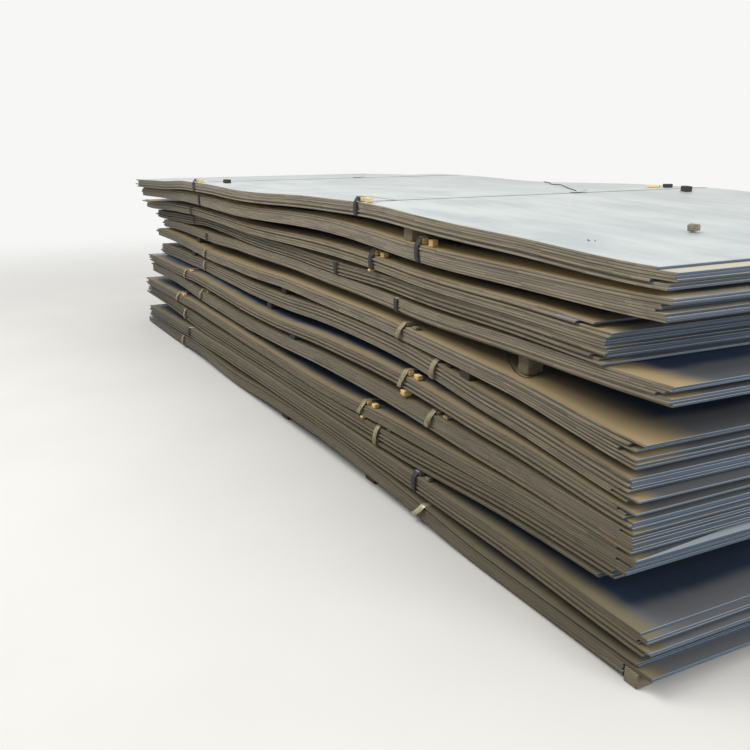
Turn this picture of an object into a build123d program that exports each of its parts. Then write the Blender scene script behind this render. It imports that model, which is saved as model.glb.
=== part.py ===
from build123d import *
import math
import os

# A stack of thirteen strapped bundles of hot-rolled steel plate, standing on floor dunnage.
# Millimetres. X runs along the plates with the near end at +X, Y across them, Z up from the floor.

# Plates
plate_length = 6000.0
plate_width = 2200.0
plate_thickness = 8.0
plate_air = 0.7              # air between two plates of one bundle, on the average
least_air = 0.45             # the same where two plates lie close
air_wave = 2600.0            # length along a plate over which the air opens and closes once
end_stagger = 3.0            # most that a plate slides along its run of plates
side_stagger = 6.0           # most that a plate slides out past its bundle along the sides
fan_start = 1900.0           # X where a bundle that fans out at its near end starts to open

# Straps, their seals and the wood pads that keep them off the plate edges
strap_width = 32.0
strap_thickness = 1.0
seal_length = 42.0
seal_wall = 1.2
seal_setback = 1270.0        # from the front edge of the bundle to the middle of the seal
pad_blocks = ((-18.0, 24.0), (58.0, 96.0))    # ends of a pad's two blocks, from the strap's middle
pad_setback = 16.0           # from the front edge of the bundle
pad_depth = 30.0
strap_fall = 160.0           # length over which a strap comes down from its pad to the plate

# Spacers between the bundles and dunnage on the floor
spacer_width = 70.0
spacer_length = 1760.0
spacer_recess = 7.0          # least that a spacer stays back from the front edge
spacer_scatter = 20.0        # most that it stays back further than that
deep_spacer_recess = 190.0   # the same least for a spacer that lies deep under its bundle
lath_width = 50.0            # of the laths that hold a bundle's own plates apart
dunnage_width = 95.0
dunnage_length = 2120.0
corner_block_x = 3011.0
corner_block_length = 60.0
corner_block_depth = 70.0

# Clearances
seat = 0.3                   # between a piece and what it rests on
side_clearance = 0.6         # between a strap and the plate edges beside it
wave_points = 55             # points along a plate that its wave is drawn through

# Loose pieces left on the top sheet
loose_block_size = 46.0
loose_block_height = 32.0
loose_chip_thickness = 14.0
wedged_block_length = 66.0
wedged_block_depth = 85.0

# Stations along the length, from the far end to the near end, where the gaps are stated
stations = (-3100.0, -2250.0, -1500.0, -750.0, 0.0, 750.0, 1500.0, 2250.0, 3100.0)


class Bundle:
    """One strapped bundle, with the open gap under it at each station and where its pieces lie."""

    def __init__(self, runs, yaw, gap_below, straps, spacers, at_front=(), pads=(), near_fan=0.0,
                 inner_gap=(0, 0.0)):
        self.near_ends = [near_end for count, near_end in runs for _ in range(count)]
        self.plates = len(self.near_ends)
        self.yaw = yaw                # turn in plan, in degrees
        self.gap_below = gap_below    # gap to the bundle or floor below, at the stations
        self.straps = straps          # X of its straps
        self.spacers = spacers        # X of the spacers under it
        self.at_front = at_front      # numbers of the spacers that reach the front edge
        self.pads = pads              # (number of the strap, thickness) of its wood pads
        self.near_fan = near_fan      # how much its plates spread at the last station
        self.inner_gap = inner_gap    # (plates below it, height) of an open gap between its plates


# From the floor up. The first entry lists the runs of plates, lowest first: how many lie flush at the
# near end, and the X of that end.
bundles = [
    Bundle(((5, 2972.0), (2, 3090.0), (2, 3033.0)), 0.26,
           (5, 10, 40, 20, 50, 65, 45, 8, 10), (-1890, 1770), (-1600, 100, 1200)),
    Bundle(((1, 3049.0), (2, 3075.0), (2, 3024.0), (2, 3059.0), (1, 3033.0)), 0.25,
           (5, 20, 15, 50, 25, 8, 25, 60, 35), (-1720, 1690), (-1500, -480, 1500), pads=((1, 18),)),
    Bundle(((2, 2839.0), (4, 2900.0), (3, 2953.0)), 0.56,
           (90, 65, 15, 6, 6, 10, 25, 65, 90), (-1870, 1340), (-2100, 1510), pads=((1, 14),),
           inner_gap=(2, 8.7)),
    Bundle(((1, 2960.0), (1, 2902.0), (3, 2987.0), (1, 2904.0)), 0.37,
           (5, 20, 50, 35, 20, 10, 25, 6, 2), (-2030, 1190), (-1620, -300, 1570), pads=((0, 24), (1, 22))),
    Bundle(((6, 2968.0), (1, 2909.0), (1, 2973.0)), 0.89,
           (70, 70, 35, 35, 55, 85, 60, 25, 2), (-1510, 1800), (-1750, 200, 1550), pads=((0, 18), (1, 16))),
    Bundle(((3, 2956.0), (2, 2929.0), (1, 2890.0), (1, 2971.0)), 0.76,
           (15, 6, 45, 40, 30, 35, 40, 25, 2), (-1880, 1570), (-1700, 260, 1680), (1,),
           pads=((0, 14), (1, 24))),
    Bundle(((1, 2933.0), (1, 2860.0), (1, 2977.0), (1, 2892.0), (5, 2938.0)), 1.88,
           (8, 20, 20, 35, 50, 55, 50, 30, 19), (-1640, 1790), (-2050, -270, 1950), (1,), pads=((1, 12),)),
    Bundle(((3, 2957.0), (1, 2878.0), (1, 2944.0), (1, 2924.0), (1, 2981.0)), 1.58,
           (80, 65, 35, 45, 50, 18, 15, 45, 34), (-1540, 1510), (-2010, -30, 2000), (0, 1, 2),
           pads=((1, 16),), near_fan=34.0),
    Bundle(((3, 3061.0), (1, 3000.0), (1, 3039.0), (2, 3064.0)), 1.85,
           (20, 40, 60, 70, 60, 55, 50, 80, 135), (-1570, 1440), (-1910, -110, 1700), (0,)),
    Bundle(((1, 2788.0), (1, 2767.0), (1, 2730.0), (4, 2800.0)), 2.05,
           (6, 15, 50, 20, 8, 8, 25, 16, 1), (-1930, 800), (-1350, -450, 1550)),
    Bundle(((3, 2792.0), (2, 2811.0), (1, 2661.0), (1, 2733.0)), 1.14,
           (30, 35, 15, 20, 20, 35, 12, 3, 1), (-1730, 1250), (-1590, -100, 1450), pads=((1, 27),)),
    Bundle(((3, 3018.0), (1, 2974.0), (2, 2997.0), (2, 3035.0)), 0.35,
           (55, 40, 40, 40, 50, 55, 45, 42, 48), (-1310, 1680), (-1500, 100, 1500), pads=((1, 30),)),
    Bundle(((2, 3015.0), (1, 2950.0), (3, 3040.0), (1, 2971.0)), 0.00,
           (6, 6, 25, 35, 30, 35, 60, 45, 20), (-1320, 1160), (-1050, 250, 1580), (2,),
           pads=((0, 22), (1, 24))),
]
first_projecting_plate = 5    # of the lowest bundle, which the corner block on the floor carries
wedged_block = (8, 2312.0, -1034.0)    # bundle above it, X of its middle and Y of its front
top_bundle = len(bundles) - 1

nominal_front = -plate_width / 2


def uneven(first, second):
    """A value from -1 to 1 that changes without a pattern from one pair of numbers to the next."""
    return math.sin(2.3 * first + 1.7 * second)


def smooth_through(values, x):
    """Height at x of a curve through the station values, level at both ends, with no overshoot."""
    if x <= stations[0]:
        return values[0]
    if x >= stations[-1]:
        return values[-1]
    last = len(stations) - 1
    rises = [(values[i + 1] - values[i]) / (stations[i + 1] - stations[i]) for i in range(last)]
    slopes = [0.0] * (last + 1)
    for i in range(1, last):
        if rises[i - 1] * rises[i] > 0:
            slopes[i] = 2 * rises[i - 1] * rises[i] / (rises[i - 1] + rises[i])
    i = max(k for k in range(last) if stations[k] <= x)
    span = stations[i + 1] - stations[i]
    t = (x - stations[i]) / span
    rise = (3 - 2 * t) * t * t
    lead = t * (1 - t) ** 2 * span
    tail = t * t * (t - 1) * span
    return values[i] + rise * (values[i + 1] - values[i]) + lead * slopes[i] + tail * slopes[i + 1]


def air_over(number, layer, x):
    """Air over a plate at x: the least where its bundle is tight, and more where it has sprung open."""
    shares = [uneven(k, number) ** 2 for k in range(bundles[number].plates - 1)]
    spare = (plate_air - least_air) * len(shares) * shares[layer] / sum(shares)
    return least_air + spare * (1 + math.sin(2 * math.pi * (x / air_wave + uneven(number, layer))))


def plate_rise(number, layer, x):
    """Height of a plate's underside above its bundle's underside at x."""
    bundle = bundles[number]
    below, opening = bundle.inner_gap
    spread = max(0.0, (x - fan_start) / (stations[-1] - fan_start)) ** 2
    fan = bundle.near_fan * spread * layer / (bundle.plates - 1)
    air = sum(air_over(number, k, x) for k in range(layer))
    return layer * plate_thickness + air + fan + opening * (layer >= below)


def bundle_thickness(number, x):
    """Height of a bundle at x from the underside of its first plate to the top of its last."""
    return plate_rise(number, bundles[number].plates - 1, x) + plate_thickness


def underside(number, x):
    """Height above the floor of a bundle's underside at x."""
    gaps = sum(smooth_through(bundles[k].gap_below, x) for k in range(number + 1))
    return gaps + sum(bundle_thickness(k, x) for k in range(number))


def topside(number, x):
    """Height above the floor of a bundle's top at x, or of the floor for number -1."""
    if number < 0:
        return 0.0
    return underside(number, x) + bundle_thickness(number, x)


def slope_angle(number, x):
    """Local slope of a bundle along X, in degrees."""
    half = strap_width / 2
    low, high = (underside(number, end) + topside(number, end) for end in (x - half, x + half))
    return math.degrees(math.atan2((high - low) / 2, 2 * half))


def plate_shift(number, layer):
    """How far one plate has slid along X and along Y: mostly a little, and now and then more."""
    return end_stagger * uneven(layer, number), side_stagger * uneven(number + 1, 2 * layer) ** 3


def plate_footprint(number, layer):
    """Centre of a plate in plan, and its turn. The near front corner stays on the front line."""
    bundle = bundles[number]
    along, across = plate_shift(number, layer)
    turn = math.radians(-bundle.yaw)
    half_length, half_width = plate_length / 2, plate_width / 2
    corner_x = half_length * math.cos(turn) + half_width * math.sin(turn)
    corner_y = half_length * math.sin(turn) - half_width * math.cos(turn)
    return bundle.near_ends[layer] + along - corner_x, nominal_front + across - corner_y, turn


def plate_corners(number, layer):
    """The four corners of a plate in plan."""
    x, y, turn = plate_footprint(number, layer)
    corners = []
    for side_x, side_y in ((-1, -1), (1, -1), (1, 1), (-1, 1)):
        a, b = side_x * plate_length / 2, side_y * plate_width / 2
        along = a * math.cos(turn) - b * math.sin(turn)
        across = a * math.sin(turn) + b * math.cos(turn)
        corners.append((x + along, y + across))
    return corners


all_corners = [c for n, b in enumerate(bundles) for layer in range(b.plates) for c in plate_corners(n, layer)]
low_x, high_x = min(c[0] for c in all_corners), max(c[0] for c in all_corners)
low_y, high_y = min(c[1] for c in all_corners), max(c[1] for c in all_corners)
to_origin = Location((-(low_x + high_x) / 2, -(low_y + high_y) / 2, 0))


def bundle_side(number, x, side):
    """Y of the outermost plate edge of a bundle at x, on the front (-1) or the back (+1)."""
    edges = []
    for layer in range(bundles[number].plates):
        centre_x, centre_y, turn = plate_footprint(number, layer)
        edges.append(centre_y + side * plate_width / 2 / math.cos(turn) + math.tan(turn) * (x - centre_x))
    return side * max(side * y for y in edges)


def plate_side(number, layer, side):
    """A plate's section along its front (-1) or back (+1) side, with the bundle's wave above and below."""
    corners = plate_corners(number, layer)
    far, near = (corners[0], corners[1]) if side < 0 else (corners[3], corners[2])
    shares = [i / (wave_points - 1) for i in range(wave_points)]
    spots = [(far[0] + (near[0] - far[0]) * t, far[1] + (near[1] - far[1]) * t) for t in shares]
    edges = []
    for height in (0.0, plate_thickness):
        points = [(x, y, underside(number, x) + plate_rise(number, layer, x) + height) for x, y in spots]
        edges.append(Edge.make_spline(points, parameters=shares))
    low, high = edges
    return make_face([low, Line(low @ 1, high @ 1), high, Line(high @ 0, low @ 0)])


def plate(number, layer):
    """One plate, ruled straight across from its front side to its back side."""
    return loft([plate_side(number, layer, -1), plate_side(number, layer, 1)], ruled=True).solid()


def strap_pad_thickness(number, strap):
    """Thickness of the wood pad under a strap, or 0 where it has none."""
    return next((thickness for index, thickness in bundles[number].pads if index == strap), 0.0)


def pad_rest(number, index, block):
    """Where a pad's block lies: its ends along X, and how far a crown under it lifts it off them."""
    left, right = (bundles[number].straps[index] + end for end in block)
    middle = (left + right) / 2
    chord = (topside(number, left) + topside(number, right)) / 2
    return left, right, max(0.0, topside(number, middle) - chord)


def pad_top(number, index):
    """Height of a strap's pad at the strap, or of the bundle's top where it has no pad."""
    x = bundles[number].straps[index]
    thickness = strap_pad_thickness(number, index)
    if not thickness:
        return topside(number, x)
    left, right, crown = pad_rest(number, index, pad_blocks[0])
    share = (x - left) / (right - left)
    chord = topside(number, left) * (1 - share) + topside(number, right) * share
    return chord + crown + seat + thickness


def strap_sides(number, x):
    """Y of a strap's inner faces at the front and the back of its bundle."""
    half = strap_width / 2
    front = min(bundle_side(number, x - half, -1), bundle_side(number, x + half, -1)) - side_clearance
    back = max(bundle_side(number, x - half, 1), bundle_side(number, x + half, 1)) + side_clearance
    return front, back


def tilted_to_bundle(number, x, shape):
    """Place a shape made about the middle of a bundle's height, tilted to the bundle's slope at x."""
    middle = (underside(number, x) + topside(number, x)) / 2
    return Location((x, 0, middle)) * Rotation(0, -slope_angle(number, x), 0) * shape


def strap(number, index):
    """One strap: a closed band round the bundle that climbs over its wood pad near the front edge."""
    x = bundles[number].straps[index]
    front, back = strap_sides(number, x)
    half = bundle_thickness(number, x) / 2 + seat
    rise = pad_top(number, index) - topside(number, x)
    inside = [(0, front, -half), (0, front, half), (0, back, half), (0, back, -half)]
    if rise:
        top = half + rise
        pad_front = front + side_clearance + pad_setback
        pad_back = pad_front + pad_depth
        inside[2:2] = [(0, pad_front, top), (0, pad_back, top), (0, pad_back + strap_fall, half)]
    loop = make_face(Polyline(*inside, close=True))
    band = offset(loop, amount=strap_thickness, kind=Kind.INTERSECTION) - loop
    band = extrude(band, amount=strap_width / 2, dir=(1, 0, 0), both=True)
    return tilted_to_bundle(number, x, band).solid()


def seal(number, index):
    """The crimped seal that closes a strap: a channel folded over it, on the bundle's top."""
    x = bundles[number].straps[index]
    front, _ = strap_sides(number, x)
    inner_width = strap_width + 2 * seat
    inner_top = strap_thickness + 2 * seat
    base = bundle_thickness(number, x) / 2 + seat
    on_base = (Align.CENTER, Align.CENTER, Align.MIN)
    outer = Box(inner_width + 2 * seal_wall, seal_length, inner_top + seal_wall, align=on_base)
    inner = Box(inner_width, seal_length, inner_top, align=on_base)
    channel = Location((0, front + seal_setback, base)) * (outer - inner)
    return tilted_to_bundle(number, x, channel).solid()


def wood_pad(number, index, block):
    """A block of the wood pad at a strap, near the bundle's front edge and lying on the plate's wave."""
    left, right, crown = pad_rest(number, index, block)
    front = strap_sides(number, bundles[number].straps[index])[0] + side_clearance + pad_setback
    thickness = strap_pad_thickness(number, index)
    corners = [(x, front, topside(number, x) + crown + seat + up)
               for x, up in ((left, 0), (right, 0), (right, thickness), (left, thickness))]
    section = make_face(Polyline(*corners, close=True))
    return extrude(section, amount=pad_depth, dir=(0, 1, 0)).solid()


def cross_bar(x, width, length, front, low, high):
    """A bar across the stack at x that fills the room between two heights, each a function of x."""
    foot, head = [], []
    for end in (x - width / 2, x + width / 2):
        foot.append((end, front, low(end) + seat * (low(end) > 0)))
        head.append((end, front, high(end) - seat))
    section = make_face(Polyline(*foot, *reversed(head), close=True))
    return extrude(section, amount=length, dir=(0, 1, 0)).solid()


def plate_level(number, layer, x):
    """Height above the floor of a plate's underside at x."""
    return underside(number, x) + plate_rise(number, layer, x)


def spacers(number):
    """The spacers under a bundle, uneven in how far they reach out, and the laths in its inner gap."""
    below, opening = bundles[number].inner_gap
    bars = []
    for index, x in enumerate(bundles[number].spacers):
        front = max(bundle_side(number, x, -1), bundle_side(number - 1, x, -1))
        front += spacer_recess if index in bundles[number].at_front else deep_spacer_recess
        front += spacer_scatter / 2 * (1 + uneven(index, number))
        bars.append(cross_bar(x, spacer_width, spacer_length, front,
                              lambda end: topside(number - 1, end), lambda end: underside(number, end)))
        if opening:
            bars.append(cross_bar(x, lath_width, spacer_length, front,
                                  lambda end: plate_level(number, below - 1, end) + plate_thickness,
                                  lambda end: plate_level(number, below, end)))
    return bars


def floor_dunnage():
    """The bars on the floor that carry the lowest bundle, and the small block at its near corner."""
    bars = []
    for x in bundles[0].spacers:
        front = bundle_side(0, x, -1) + (plate_width - dunnage_length) / 2
        bars.append(cross_bar(x, dunnage_width, dunnage_length, front,
                              lambda end: 0.0, lambda end: underside(0, end)))
    bars.append(cross_bar(corner_block_x, corner_block_length, corner_block_depth,
                          bundle_side(0, corner_block_x, -1),
                          lambda end: 0.0, lambda end: plate_level(0, first_projecting_plate, end)))
    return bars


def loose_pieces():
    """Packing wood: the blocks and chips loose on the top sheet, and the block wedged in a gap."""
    size, height, chip = loose_block_size, loose_block_height, loose_chip_thickness
    pieces = []
    for x, y, turn, length, width, thickness in (
        (2484.0, -432.0, 14.0, size, size, height),
        (1340.0, 765.0, -20.0, size * 1.2, size * 0.9, height * 0.9),
        (-1075.0, -945.0, 25.0, size, size * 0.8, height * 0.8),
        (1005.0, 866.0, 35.0, size * 1.6, size * 0.9, chip),
        (1062.0, 920.0, 62.0, size * 1.1, size * 0.7, chip * 1.5),
    ):
        block = Rotation(0, 0, turn) * Box(length, width, thickness)
        tilt = Rotation(0, -slope_angle(top_bundle, x), 0)
        rest = Location((x, y, topside(top_bundle, x)))
        pieces.append((rest * tilt * Location((0, 0, seat + thickness / 2)) * block).solid())
    number, x, front = wedged_block
    pieces.append(cross_bar(x, wedged_block_length, wedged_block_depth, front,
                            lambda end: topside(number - 1, end), lambda end: underside(number, end)))
    return pieces


def write(name, solids):
    """Write a node's solids, moved so that the origin is under the middle of the stack."""
    export_step(Compound(children=[to_origin * solid for solid in solids]), f"parts/{name}.step")


os.makedirs("parts", exist_ok=True)
seals = []
for number, bundle in enumerate(bundles):
    label = f"bundle_{number + 1:02d}"
    write(f"{label}_plates", [plate(number, layer) for layer in range(bundle.plates)])
    write(f"{label}_straps", [strap(number, index) for index in range(len(bundle.straps))])
    if bundle.pads:
        blocks = [wood_pad(number, index, block) for index, _ in bundle.pads for block in pad_blocks]
        write(f"{label}_wood_pads", blocks)
    if number:
        write(f"spacers_under_{label}", spacers(number))
    seals += [seal(number, index) for index in range(len(bundle.straps))]
write("floor_dunnage", floor_dunnage())
write("strap_seals", seals)
write("loose_packing_wood", loose_pieces())

print("origin moved by", round(to_origin.position.X, 2), round(to_origin.position.Y, 2))
print("overall height", round(max(topside(top_bundle, x) for x in stations), 1))
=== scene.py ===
"""Looks of a stack of strapped bundles of hot-rolled steel plate. Metres, +Z up, X along the plates."""

import math
import random
from functools import partial

import bmesh
import bpy
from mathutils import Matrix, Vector, noise
from mathutils.bvhtree import BVHTree


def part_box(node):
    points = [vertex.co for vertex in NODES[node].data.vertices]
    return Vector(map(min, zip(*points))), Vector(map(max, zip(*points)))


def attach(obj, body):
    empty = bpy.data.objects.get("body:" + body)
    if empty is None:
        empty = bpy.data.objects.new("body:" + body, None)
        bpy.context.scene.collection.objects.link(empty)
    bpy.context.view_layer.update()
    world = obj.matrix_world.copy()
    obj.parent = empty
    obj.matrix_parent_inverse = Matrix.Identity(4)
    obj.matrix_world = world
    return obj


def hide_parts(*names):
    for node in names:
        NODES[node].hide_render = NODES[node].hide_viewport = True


bl_info = {
    "name": "Steel Plate Stack",
    "version": (1, 0, 0),
    "blender": (4, 5, 0),
    "location": "3D View > Sidebar > Plate Stack",
    "description": "Finishes, straps, seals and packing wood of a stack of strapped steel plate",
    "category": "Object",
}

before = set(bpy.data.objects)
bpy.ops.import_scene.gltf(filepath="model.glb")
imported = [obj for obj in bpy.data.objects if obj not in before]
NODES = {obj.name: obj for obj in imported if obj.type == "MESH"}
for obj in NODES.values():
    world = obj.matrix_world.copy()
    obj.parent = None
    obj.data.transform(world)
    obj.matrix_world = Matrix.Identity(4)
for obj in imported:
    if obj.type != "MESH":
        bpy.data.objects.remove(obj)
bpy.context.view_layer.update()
MM = 0.001
SAME_CORNER = 8 * MM          # corner points within this of each other are at one corner of a solid

PLATE_NODES = sorted(name for name in NODES if name.endswith("_plates"))
STRAP_NODES = sorted(name for name in NODES if name.endswith("_straps"))
PAD_NODES = sorted(name for name in NODES if name.endswith("_wood_pads"))
SPACER_NODES = sorted(name for name in NODES if name.startswith("spacers_"))
TOP_NODE = PLATE_NODES[-1]
CORNER_NODE = "bundle_12_plates"

# For each bundle from the floor up: its sides' share of the upper sides' colour, its dust's share of tan
UPPER_SIDES = (0.0, 0.0, 0.05, 0.1, 0.3, 0.35, 0.5, 0.7, 0.75, 0.6, 0.9, 1.0, 1.0)
TAN_DUST = (0.1, 0.15, 0.25, 0.4, 0.3, 0.5, 0.6, 0.8, 0.9, 0.8, 1.0, 1.0, 1.0)

# Where the dust on the ledges along the sides thins out and ends, in from the side. It ends this short
# so that the tan band also paints the lit strip, and the dark scale beyond it the shade below a bundle.
USUAL_DUST_AND_LIGHT_REACH = (0.025, 0.11)
DUST_AND_LIGHT_REACH = {"bundle_08": (0.08, 0.27), "bundle_09": (0.06, 0.17), "bundle_10": (0.06, 0.17),
              "bundle_11": (0.06, 0.18), "bundle_12": (0.07, 0.19)}
# The upper bundles' end ledges carry dust made pale as painted light from above.
LIT_DUSTY_ENDS = {"bundle_13": 1.0, "bundle_12": 0.9, "bundle_11": 0.35}    # share of lit pale dust
END_LEDGE = 0.062             # width of the dusty ledge at an end
# The grey at the ends is partly worn scale and partly painted light on the strip at the ends that the light
# reaches.
WORN_AND_LIT_END = (0.13, 0.2)        # from an end, where the grey scale starts to give way and where it stops
OUTER_RIM = 7 * MM            # of the faces, which is as grimy as the edges
COOL_SIDE_LENGTH = 2.2        # from the far end, as far as the sides are cooler
FACE_NORMAL = (0.95, 0.97)    # upward share of the normal from which a facet counts as a face
END_NORMAL = 0.3              # share of the normal along X from which an edge counts as an end
RUSTY_BUNDLE = "bundle_05"
RUST_FROM_END = 0.16
RUST_REACH = (0.08, 0.05, 0.012)    # of the stain along, across and up

# Straps
STRAP_GAUGE = 1.0 * MM
STRAP_EDGE_BREAK = 0.4 * MM
PAD_BENDS = (0.008, 0.012, 0.12)    # at the pad's front and back corner, and where the strap meets the plate
BLUED_BUNDLES = ("bundle_02", "bundle_09", "bundle_10", "bundle_11", "bundle_12", "bundle_13")
BRIGHT_STRAP_BUNDLE = "bundle_01"
BRIGHT_STRAP_LEAN = 1.9       # of the bright strap, compared with the others
BOW_BACK = 0.02               # how far behind its front a strap still bows out
LEAN_BACK = 1.0               # how far behind its front a strap still leans
SEAL_BEND = 0.8 * MM
CRIMP_PLACES = (0.3, 0.7)     # shares of a seal's length
CRIMP_WIDTH = 3.2 * MM

# Wood. Facets are along, across and up, and lumps along and across.
RING_WIDTH = 6 * MM
FINE_FACETS = (8 * MM, 8 * MM, 6 * MM)
COARSE_FACETS = (60 * MM, 20 * MM, 20 * MM)
FIBRES = 260                  # a metre
LUMPS = (22, 45)              # a metre
SPLIT_TEAR = 6 * MM           # how deep the ends of the pads are torn
SAWN_TEAR = 3 * MM            # how deep those of the other blocks are
LOOSE_ARRIS = 0.6             # of the loose blocks, compared with the pads
CRUMPLED = 4.0                # arrises and torn ends of a crumpled block, compared with the others
PAD_WOODS = {"bundle_13": "cream", "bundle_07": "dark", "bundle_08": "grey", "bundle_05": "brown",
             "bundle_02": "grey", "bundle_03": "grey"}
CORNER_BLOCK_FROM = 2.3       # floor dunnage past this is the weathered block under the near corner
WEDGED_BLOCK_FROM = 2.0       # the loose block past this is the crumpled one under bundle 9
DARK_BLOCK_RISE = 8 * MM      # a loose block with its middle higher over the sheet is a dark one

# Chips at the feet of the near straps: bundle, place along X from the strap, length, depth, height
FOOT_CHIPS = (("bundle_06", -0.016, 0.036, 0.045, 0.028), ("bundle_04", -0.014, 0.022, 0.030, 0.014),
              ("bundle_11", -0.018, 0.024, 0.030, 0.013))

# Tie wire round the block wedged under bundle 9, from the block's low corner, and on the top sheet
LEDGE_WIRE = ((-0.16, 0.075), (-0.076, 0.031), (-0.019, 0.007), (0.020, -0.004), (0.050, -0.009),
              (0.073, 0.001), (0.080, 0.027))
LEDGE_WIRE_LIFT = (0.030, 0.012, 0.003, 0.0, 0.0, 0.0, 0.006)
TOP_WIRE = ((-0.118, 0.966, 0.0), (0.15, 0.79, 0.004), (0.369, 0.637, 0.0), (0.642, 0.474, 0.006),
            (0.911, 0.307, 0.002), (1.141, 0.167, 0.0))
TOP_WIRE_THICKER = 1.6        # of the wire on the top sheet, compared with the other

# Flakes of scale near the corner of the top sheet
SCALE_FLAKES = ((2.604, -1.038), (2.611, -1.018), (2.590, -1.030))
FLAKE_CORNERS = 7
FLAKE_REACH = (1.8 * MM, 3.4 * MM)
FLAKE_HEIGHT = (1.0 * MM, 2.5 * MM)

# Floor, light and camera
FLOOR_SIZE = 60.0
FLOOR_FADE = (4.0, 10.0)      # from the middle of the stack, where the floor starts and ends to fade
SKY_HEIGHTS = (0.25, 0.9)     # upward share of a direction, for the horizon's and the overhead strength
SKY_LIGHT = (0.26, 0.97)      # strength of the light from the horizon and from overhead
# Lamps: name, place, side, power
LAMPS = (("softbox_front", (-0.5, -5.0, 7.0), 5.0, 370.0), ("softbox_end", (8.5, 0.5, 3.6), 4.0, 240.0))
LAMP_TARGET = (0.0, 0.0, 0.7)
CAMERA_PAST_END = 1.628
CAMERA_IN_FRONT = 1.787
CAMERA_HEIGHT = 1.647
CAMERA_PITCH = math.radians(15.71)
CAMERA_TURN = math.radians(28.16)
PICTURE_SIDE = 750
FOCAL_PIXELS = 865
SENSOR = 36.0

# Settings that a kind of node has unless a call gives others
USUAL_SETTINGS = {"MapRange": {"interpolation_type": "SMOOTHSTEP"}, "Mix": {"data_type": "RGBA"}}


def bundle_of(node):
    """The bundle that a node belongs to, as in bundle_05."""
    return node[:len("bundle_00")]


def linear(code):
    """An sRGB hex code as linear red, green, blue and alpha."""
    channels = [int(code[i:i + 2], 16) / 255 for i in (1, 3, 5)]
    return tuple(c / 12.92 if c <= 0.04045 else ((c + 0.055) / 1.055) ** 2.4 for c in channels) + (1.0,)


def length_property(name, description, default):
    """A length that a user may change, in metres."""
    return bpy.props.FloatProperty(name=name, description=description, default=default, subtype="DISTANCE",
                                   unit="LENGTH", precision=4)


def colour_property(name, description, code):
    """A colour that a user may change, given as an sRGB hex code."""
    return bpy.props.FloatVectorProperty(name=name, description=description, default=linear(code), size=4,
                                         subtype="COLOR", min=0.0, max=1.0)


class PlateStackSizes(bpy.types.PropertyGroup):
    """Sizes of what is modelled round the plates."""

    edge_round: length_property("Edge round", "Rounding that the shear leaves along the edges", 0.0013)
    strap_bend: length_property("Strap bend", "Radius of a strap where it turns over the plates", 0.005)
    strap_bow: length_property("Strap bow", "How far a zinc coated strap bows out from the plates", 0.011)
    strap_lean: length_property("Strap lean", "How far a zinc coated strap leans along the bundle", 0.038)
    strap_tail: length_property("Strap tail", "Free end of a strap past its seal", 0.07)
    tail_lift: length_property("Tail lift", "How far a free end springs up on the top sheet", 0.012)
    seal_gauge: length_property("Seal gauge", "Thickness of the sheet that a seal is folded from", 0.0011)
    crimp_depth: length_property("Crimp depth", "How far a crimp bites into the side of a seal", 0.004)
    pad_arris: length_property("Pad arris", "Rounding along the edges of a wood pad", 0.004)
    spacer_arris: length_property("Spacer arris", "Rounding along the edges of a spacer", 0.003)
    wire_radius: length_property("Wire radius", "Radius of the loose tie wire", 0.0016)


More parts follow.
